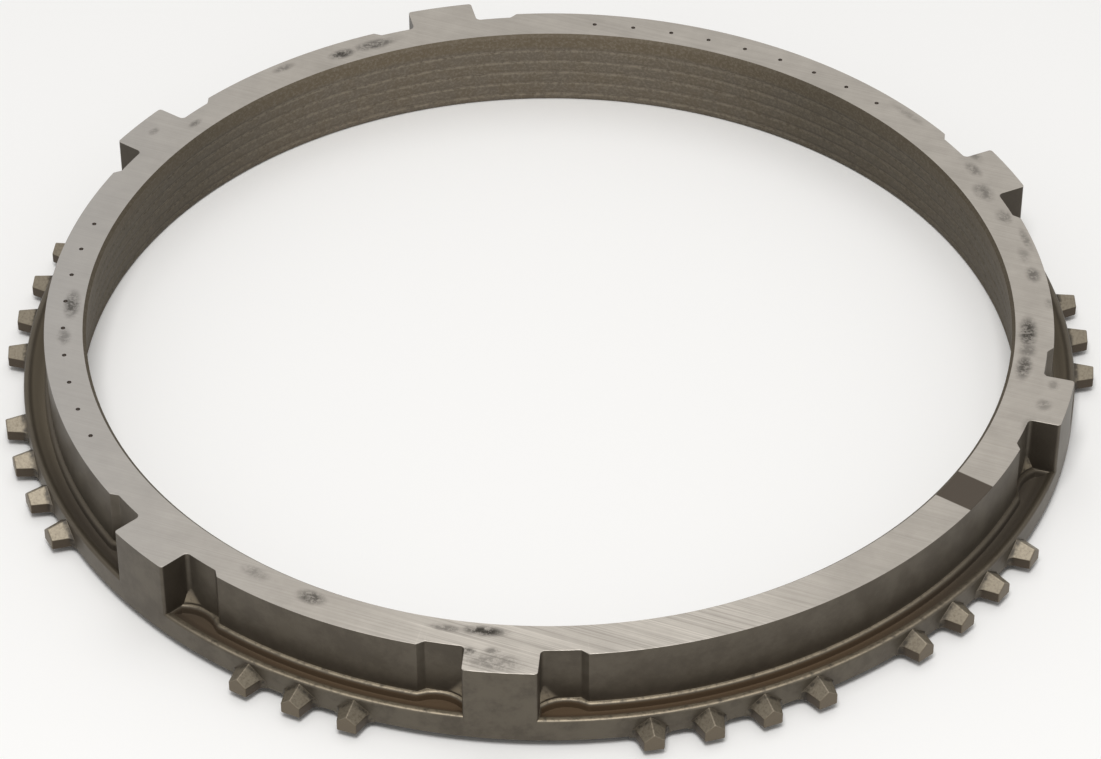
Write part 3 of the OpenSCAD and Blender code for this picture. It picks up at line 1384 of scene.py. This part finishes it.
@dataclass(frozen=True)
class ForgedSkin:
    """Phosphated forging skin.

    Brown-grey and mottled with a low sheen, so that rounded lips catch the light. It is stained brown in the
    channels and a little rubbed on what looks up. Painted shade darkens the wall's foot, the flanks, what
    looks up on the rim at the sides, the insides of the punch marks and the feet of the teeth, and splits the
    channels' brown into a lit front and back with a shaded stretch between. Painted light lightens the rim's
    outer face and the lips at the front, the tilted faces by the wall's foot and, together with the rubbing,
    what looks up on the teeth, most on the side teeth.
    """

    sizes: RingSizes
    plain: str = "#534c42"
    mottle: str = "#5f584d"
    # Painted light on the rim's outer face, at the front only.
    rim: str = "#625b4f"
    shaded: str = "#3f382f"
    # Brown staining in the channels, darkest as painted shade between the front and the back, which carry
    # painted light.
    shaded_stain: str = "#453d32"
    back_lit_stain: str = "#635a4b"
    front_lit_stain: str = "#594732"
    # Painted shade on what looks up on the rim, at the sides of the ring.
    side_shade: str = "#4b4336"
    tooth_flank: str = "#4a4034"
    tooth_tip: str = "#6a6051"
    # Rubbed wear on what looks up on the teeth, lightened further by painted light, most on the side teeth.
    rubbed: str = "#8f8675"
    # Painted highlight on the tilted faces by the wall's foot and on the level lips at the front.
    painted_highlight: str = "#978b77"
    # Painted shade inside the punch marks.
    mark_shade: str = "#3a322b"
    # Painted shade round the feet of the teeth, broken into specks.
    root_shade: str = "#231f1b"
    front_angle: float = math.radians(268)
    front_cosines: tuple[float, float] = (0.56, 0.94)
    back_cosines: tuple[float, float] = (0.45, 0.1)
    foot_share: float = 0.25
    flank_share: float = 0.7
    side_shade_share: float = 0.7
    roof_rub_and_light_share: float = 0.7
    side_roof_highlight_share: float = 0.2
    root_shade_share: float = 0.75
    roughness: float = 0.46
    stained_roughness: float = 0.8
    metallic: float = 0.6
    stained_metallic: float = 0.2
    bump: tuple[float, float] = (0.3, 0.06)

    def material(self) -> Material:
        """Makes the material.

        Returns:
            The finish as a material.
        """
        coat = Coating("forged_skin")
        rim_r = self.sizes.rim_r
        hub_h = self.sizes.hub_h
        flange_z = self.sizes.flange_z
        upward, outward = coat.slopes()
        # The phosphate has blotches of about 5 mm and the blasted skin a grain of about 0.45 mm. Spots of
        # about
        # 1.2 mm break up the painted highlights and the painted shade round the feet of the teeth.
        noises = [
            {"Vector": coat.point, "Scale": 1 / size, "Detail": detail, "Roughness": 0.65}
            for size, detail in ((5.0, 6.0), (0.45, 2.0), (1.2, 4.0))
        ]
        blotch, grain, spots = (add(coat.tree, "ShaderNodeTexNoise", noise)["Fac"] for noise in noises)
        # What the surface is like there.
        blotched = (blotch, 0.35, 0.65)
        gritty = (grain, -0.1, 0.7)
        spotted = (spots, 0.25, 0.58)
        root_specks = (spots, 0.34, 0.62)
        # Where it looks.
        facing_out = (outward, 0.5, 0.85)
        facing_aside = (outward, 0.6, 0.3)
        facing_up = (upward, 0.3, 0.75)
        level = (upward, 0.6, 0.96)
        upright = (upward, 0.3, 0.1)
        tilted = (upward, 0.12, 0.35)
        # Where it lies.
        deep = (coat.z, flange_z - 0.1, flange_z - 0.6)
        over_hub = (coat.z, hub_h + 0.6, hub_h + 1.6)
        on_rim = (coat.z, flange_z + 0.7, flange_z + 0.2)
        near_foot = (coat.z, flange_z + 5.0, flange_z)
        on_wall = (coat.z, flange_z - 0.1, flange_z + 0.4)
        near_top = (coat.z, self.sizes.height - 0.7, self.sizes.height - 0.6)
        on_face = (coat.radius, self.sizes.wall_r - 1.6, self.sizes.wall_r - 1.8)
        behind_rim = (coat.radius, rim_r - 0.5, rim_r - 0.8)
        outermost = (coat.radius, rim_r - 0.6, rim_r - 0.3)
        past_rim = (coat.radius, rim_r + 0.02, rim_r + 0.1)
        by_root = (coat.radius, rim_r + 1.2, rim_r + 0.5)
        on_tooth = (coat.radius, rim_r + 0.2, rim_r + 0.8)
        off_tooth = (coat.radius, rim_r + 0.8, rim_r + 0.2)
        channel = coat.mask(deep, over_hub, behind_rim)
        in_front = coat.facing(self.front_angle, self.front_cosines)
        aside = coat.facing(self.front_angle, self.front_cosines[::-1])
        at_back = coat.facing(self.front_angle, self.back_cosines)
        coats = (
            (self.mottle, blotched),
            # Painted light on the rim's outer face at the front.
            (self.rim, outermost, facing_out, blotched, in_front),
            (self.shaded, near_foot, on_wall, behind_rim, self.foot_share),
            (self.shaded, facing_aside, on_wall, upright, self.flank_share),
            (self.tooth_flank, on_tooth),
            (self.tooth_tip, on_tooth, facing_out),
            # Painted highlight on the tilted faces by the wall's foot.
            (self.painted_highlight, tilted, near_foot, on_wall, spotted),
            # Painted shade on what looks up on the rim, at the sides.
            (self.side_shade, facing_up, on_rim, over_hub, aside, off_tooth, self.side_shade_share),
            # Painted highlight on the level lips at the front.
            (self.painted_highlight, level, on_rim, over_hub, in_front, spotted, off_tooth),
            # Rubbed wear and painted light on the roofs of the teeth.
            (self.rubbed, facing_up, on_tooth, gritty, self.roof_rub_and_light_share),
            # More painted highlight on the roofs of the side teeth.
            (self.rubbed, facing_up, on_tooth, gritty, aside, self.side_roof_highlight_share),
            # Brown staining in the channels, left darkest where it shows as painted shade between the front
            # and the back.
            (self.shaded_stain, channel),
            # Painted light on the channels' staining at the front.
            (self.front_lit_stain, channel, in_front),
            # Painted light on the channels' staining at the back.
            (self.back_lit_stain, channel, at_back),
            # Painted shade inside the punch marks.
            (self.mark_shade, on_face, near_top),
            # Painted shade round the feet of the teeth, broken into specks.
            (self.root_shade, past_rim, by_root, root_specks, self.root_shade_share),
        )
        sheens = ((self.roughness, self.stained_roughness), (self.metallic, self.stained_metallic))
        rough, metallic = (
            add(coat.tree, "ShaderNodeMapRange", {"Value": channel, "To Min": bare, "To Max": stained})[0]
            for bare, stained in sheens
        )
        return coat.close(coat.paint(self.plain, coats), metallic, rough, grain, self.bump)


@dataclass(frozen=True)
class SynchronizerRing:
    """The whole ring, made of its features and dressed in its finishes."""

    sizes: RingSizes
    sharp_angle: float = math.radians(38)
    top_band: float = 0.7
    edge_band: float = 2.0
    mark_lip: float = 0.02
    cone_band: float = 0.75
    upward: float = 0.4
    flat: float = 0.95

    def _surface(self, centre: Vector, normal: Vector) -> Surface:
        """Finish of a face.

        Args:
            centre: Middle of the face.
            normal: Direction in which it looks.

        Returns:
            The finish that belongs there.
        """
        s = self.sizes
        radius = centre.to_2d().length / MM
        z = centre.z / MM
        near_top = z > s.height - self.top_band
        if near_top and radius > s.cone_top_r + self.edge_band and normal.z > self.upward:
            # The insides of the punch marks take the skin, which paints shade there.
            inside_mark = z < s.height - self.mark_lip and radius < s.wall_r - self.edge_band
            return Surface.SKIN if inside_mark else Surface.GROUND
        if near_top and normal.z > self.flat:
            return Surface.GROUND
        if radius < s.cone_r(z) + self.cone_band:
            return Surface.LINING
        return Surface.SKIN

    def build(self) -> Object:
        """Makes the ring.

        Returns:
            The finished piece, at the origin.
        """
        s = self.sizes
        cone = FrictionCone(s)
        finishes = {
            Surface.SKIN: ForgedSkin(s).material(),
            Surface.GROUND: GroundSteel(s).material(),
            Surface.LINING: FrictionLining(s, cone).material(),
        }
        skin_finish = finishes[Surface.SKIN]
        ring = Flange(s).build()
        for webs in CornerWebs(s).build(skin_finish):
            carve(ring, webs, Join.ADD)
        for channel in Channels(s).build():
            carve(ring, channel, Join.CUT)
        carve(ring, Wall(s).build(), Join.ADD)
        for teeth in Teeth(s).build(skin_finish):
            carve(ring, teeth, Join.ADD)
        carve(ring, cone.build(), Join.CUT)
        carve(ring, PunchMarks(s).build(skin_finish), Join.CUT)
        ring.name = "finished_ring"
        ring.data.name = "finished_ring"
        self._dress(ring, finishes)
        return ring

    def _dress(self, ring: Object, finishes: dict[Surface, Material]) -> None:
        """Gives the ring its shading, and each face its finish.

        Args:
            ring: The ring, in its final shape.
            finishes: Materials of the finishes.
        """
        mesh = ring.data
        mesh.materials.clear()
        for surface in Surface:
            mesh.materials.append(finishes[surface])
        for face in mesh.polygons:
            face.material_index = self._surface(face.center, face.normal).value
        mesh.shade_smooth()
        mesh.set_sharp_from_angle(angle=self.sharp_angle)
        modifier = ring.modifiers.new("even_normals", "WEIGHTED_NORMAL")
        modifier.keep_sharp = True
        settle(ring)


@dataclass(frozen=True)
class Studio:
    """Pale floor, soft light and the camera.

    Its places and lengths are in metres, apart from the width of the camera's sensor, in millimetres.
    """

    floor_half: float = 3.0
    floor_colour: str = "#fbfaf8"
    ambient: float = 0.4
    image_w: int = 1101
    focal_px: float = 4205.0
    sensor: float = 36.0
    clip_start: float = 0.01
    turn: float = math.radians(4)
    elevation: float = math.radians(40.258)
    roll: float = math.radians(0.196)
    eye: tuple[float, float, float] = (-0.0412, -0.5925, 0.5022)

    def camera(self) -> None:
        """Makes the camera at the photograph's place."""
        data = bpy.data.cameras.new("camera")
        data.sensor_fit = "HORIZONTAL"
        data.sensor_width = self.sensor
        data.lens = self.focal_px * self.sensor / self.image_w
        data.clip_start = self.clip_start
        level = math.cos(self.elevation)
        drop = math.sin(self.elevation)
        forward = Vector((level * math.sin(self.turn), level * math.cos(self.turn), -drop))
        right = Vector((math.cos(self.turn), -math.sin(self.turn), 0))
        right.rotate(Matrix.Rotation(-self.roll, 3, -forward))
        axes = Matrix((right, right.cross(forward), -forward)).transposed()
        camera = bpy.data.objects.new("camera", data)
        camera.matrix_world = Matrix.Translation(self.eye) @ axes.to_4x4()
        bpy.context.scene.collection.objects.link(camera)
        bpy.context.scene.camera = camera

    def _sees_background(self, tree: NodeTree) -> NodeSocket:
        """Tells the rays that show the background from those that carry light.

        Args:
            tree: Tree that gets the nodes.

        Returns:
            Socket that is 1 for the first kind, and 0 for the second.
        """
        path = add(tree, "ShaderNodeLightPath")
        seen = path["Is Camera Ray"]
        for ray in ("Is Glossy Ray", "Is Transmission Ray"):
            seen = add(tree, "ShaderNodeMath", {0: seen, 1: path[ray]}, operation="MAXIMUM")[0]
        return seen

    def world(self) -> None:
        """Makes the even light from all round, and the white that is seen behind the ring."""
        world = bpy.data.worlds.new("studio")
        world.use_nodes = True
        tree = world.node_tree
        tree.nodes.clear()
        strengths = {"Value": self._sees_background(tree), "To Min": self.ambient, "To Max": 1.0}
        strength = add(tree, "ShaderNodeMapRange", strengths)[0]
        shader = add(tree, "ShaderNodeBackground", {"Color": (1, 1, 1, 1), "Strength": strength})[0]
        add(tree, "ShaderNodeOutputWorld", {0: shader})
        bpy.context.scene.world = world

    def floor(self) -> None:
        """Makes the pale floor that the ring stands on."""
        half = self.floor_half
        corners = [(-half, -half, 0), (half, -half, 0), (half, half, 0), (-half, half, 0)]
        mesh = bpy.data.meshes.new("floor")
        mesh.from_pydata(corners, [], [(0, 1, 2, 3)])
        material, tree = start_material("floor_paper")
        shader = add(tree, "ShaderNodeBsdfDiffuse", {"Color": linear(self.floor_colour)})[0]
        add(tree, "ShaderNodeOutputMaterial", {0: shader})
        mesh.materials.append(material)
        floor = bpy.data.objects.new("floor", mesh)
        bpy.context.scene.collection.objects.link(floor)

    def lamp(self, name: str, place: tuple[float, float, float], size: float, power: float) -> None:
        """Makes a square soft lamp that looks at the ring.

        Args:
            name: Name of the lamp.
            place: Its middle, in metres.
            size: Its side, in metres.
            power: Its power, in watts.
        """
        data = bpy.data.lights.new(name, "AREA")
        data.size = size
        data.energy = power
        lamp = bpy.data.objects.new(name, data)
        lamp.location = place
        lamp.rotation_euler = (-Vector(place)).to_track_quat("-Z", "Y").to_euler()
        bpy.context.scene.collection.objects.link(lamp)

    def build(self) -> None:
        """Makes the whole studio."""
        self.camera()
        self.world()
        self.floor()
        self.lamp("key_softbox", place=(-0.08, -0.5, 1.15), size=0.4, power=8.0)
        self.lamp("overhead_softbox", place=(0.1, 0.35, 1.3), size=1.1, power=3.0)
        bpy.context.scene.view_settings.view_transform = "Standard"


def main() -> None:
    """Builds the ring and the studio."""
    logging.basicConfig(level=logging.INFO, format="%(message)s")
    low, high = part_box(NODE)
    sizes = RingSizes(height=(high.z - low.z) / MM)
    ring = SynchronizerRing(sizes).build()
    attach(ring, BODY)
    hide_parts(NODE)
    ring.data.calc_loop_triangles()
    log.info("%s: %d triangles", ring.name, len(ring.data.loop_triangles))
    Studio().build()


if __name__ == "__main__":
    main()
